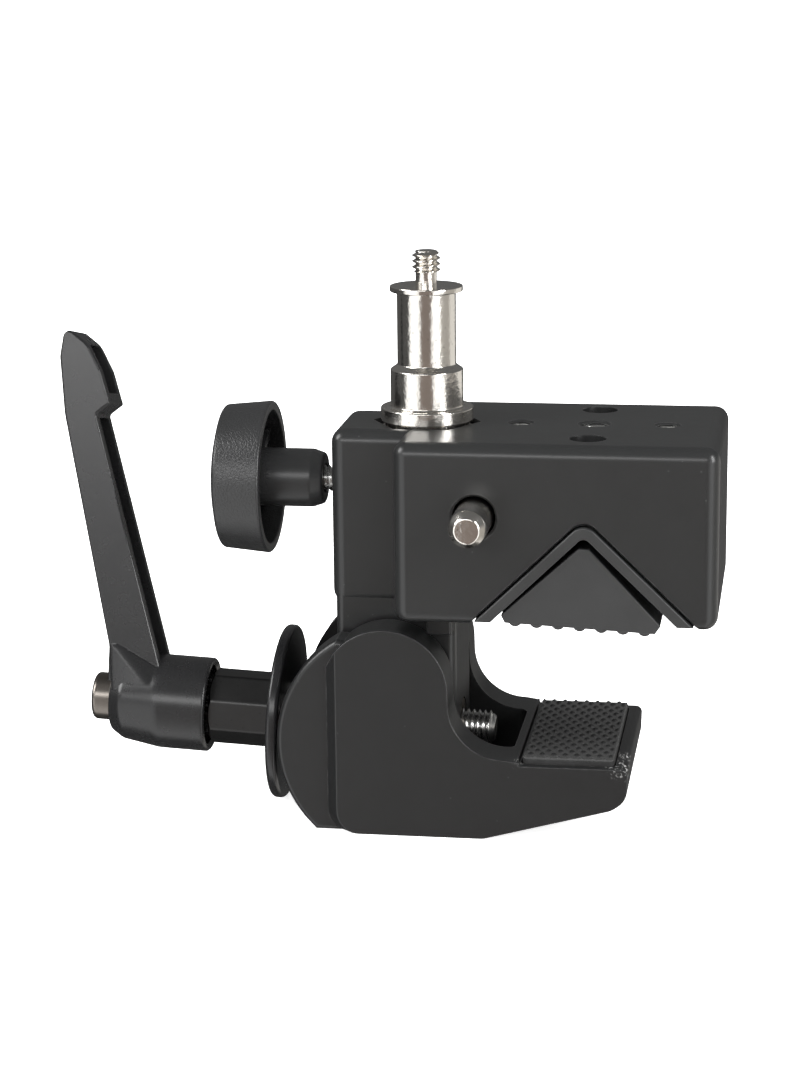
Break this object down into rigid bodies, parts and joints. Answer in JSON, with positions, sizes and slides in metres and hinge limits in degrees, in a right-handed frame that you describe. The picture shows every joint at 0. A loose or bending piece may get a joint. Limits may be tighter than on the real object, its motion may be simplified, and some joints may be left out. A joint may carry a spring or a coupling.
{
  "type": "super clamp",
  "caption": "Studio grip clamp: a V-jaw casting, a screw-closed lower jaw with an indexing lever, and a threaded spigot locked in its hex socket.",
  "frame": {"origin": "on the stud's axis, in the plane of the lower jaw's flat underside", "axes": "+X from the lever towards the jaws' mouth and tip, +Y away from the safety pin's side, +Z along the stud, towards its thread"},
  "size_m": [0.1507, 0.0654, 0.126],
  "materials": {
    "body_casting": "satin",
    "jaw_casting": "satin",
    "lever_enamel": "gloss",
    "disc_enamel": "satin",
    "liner_plastic": "matte",
    "wedge_plastic": "satin",
    "knob_plastic": "satin",
    "pad_rubber": "matte",
    "nylon": "satin",
    "nickel": "polished",
    "bright_steel": "satin",
    "dark_steel": "satin",
    "brass": "satin"
  },
  "bodies": {
    "body": {"upper_body": "body_casting", "v_liner": "liner_plastic", "stud": "nickel", "spindle_bush": "dark_steel", "pivot_washer_near": "nylon", "pivot_washer_far": "nylon", "safety_spring": "bright_steel"},
    "lower_jaw": {"lower_jaw": "jaw_casting", "jaw_pad": "pad_rubber", "pivot_pin": "bright_steel"},
    "wedge": {"wedge": "wedge_plastic"},
    "pressure_disc": {"pressure_disc": "disc_enamel"},
    "spindle": {"spindle_screw": "bright_steel", "spindle_sleeve": "dark_steel", "thrust_washer": "brass", "disc_clip": "bright_steel", "lever_screw": "dark_steel", "lever_spring": "bright_steel"},
    "lever_slider": {"spring_seat": "dark_steel"},
    "lever": {"lever": "lever_enamel"},
    "lock_pad": {"lock_tip": "brass"},
    "lock_knob": {"lock_knob": "knob_plastic", "lock_screw": "bright_steel"},
    "safety_pin": {"safety_pin": "nickel", "safety_clip": "dark_steel"}
  },
  "joints": [
    {"name": "jaw_swing", "type": "hinge", "parent": "body", "child": "lower_jaw", "pos_m": [-0.0065, 0, 0.0326], "axis": [0, 1, 0], "range_deg": [-25, 20]},
    {"name": "spindle_feed", "type": "slide", "parent": "body", "child": "pressure_disc", "axis": [0.9988, 0, -0.0489], "range_m": [-0.0042, 0.0053]},
    {"name": "spindle_turn", "type": "hinge", "parent": "pressure_disc", "child": "spindle", "pos_m": [0, 0, 0.01865], "axis": [0.9988, 0, -0.0489], "range_deg": [-1210, 1527]},
    {"name": "lever_lift", "type": "slide", "parent": "spindle", "child": "lever_slider", "axis": [-0.9988, 0, 0.0489], "range_m": [0, 0.0042], "stiffness_N_per_m": 1500, "springref_m": -0.001, "deforming": ["lever_spring"]},
    {"name": "lever_index", "type": "hinge", "parent": "lever_slider", "child": "lever", "pos_m": [0, 0, 0.01865], "axis": [0.9988, 0, -0.0489], "continuous": true},
    {"name": "lock_feed", "type": "slide", "parent": "body", "child": "lock_pad", "axis": [1, 0, 0], "range_m": [-0.006, 0]},
    {"name": "lock_turn", "type": "hinge", "parent": "lock_pad", "child": "lock_knob", "pos_m": [0, 0, 0.0746], "axis": [1, 0, 0], "range_deg": [-2161, 0]},
    {"name": "pin_push", "type": "slide", "parent": "body", "child": "safety_pin", "axis": [0, 1, 0], "range_m": [0, 0.0065], "stiffness_N_per_m": 1200, "springref_m": -0.002, "deforming": ["safety_spring"]},
    {"name": "wedge_pull", "type": "slide", "parent": "body", "child": "wedge", "axis": [0, 0, -1], "range_m": [0, 0.0055]}
  ],
  "couplings": [
    {"joint": "spindle_turn", "follows": "spindle_feed", "rad_per_m": 5026.5},
    {"joint": "jaw_swing", "follows": "spindle_feed", "rad_per_m": -81.97},
    {"joint": "lock_turn", "follows": "lock_feed", "rad_per_m": 6283.2}
  ]
}
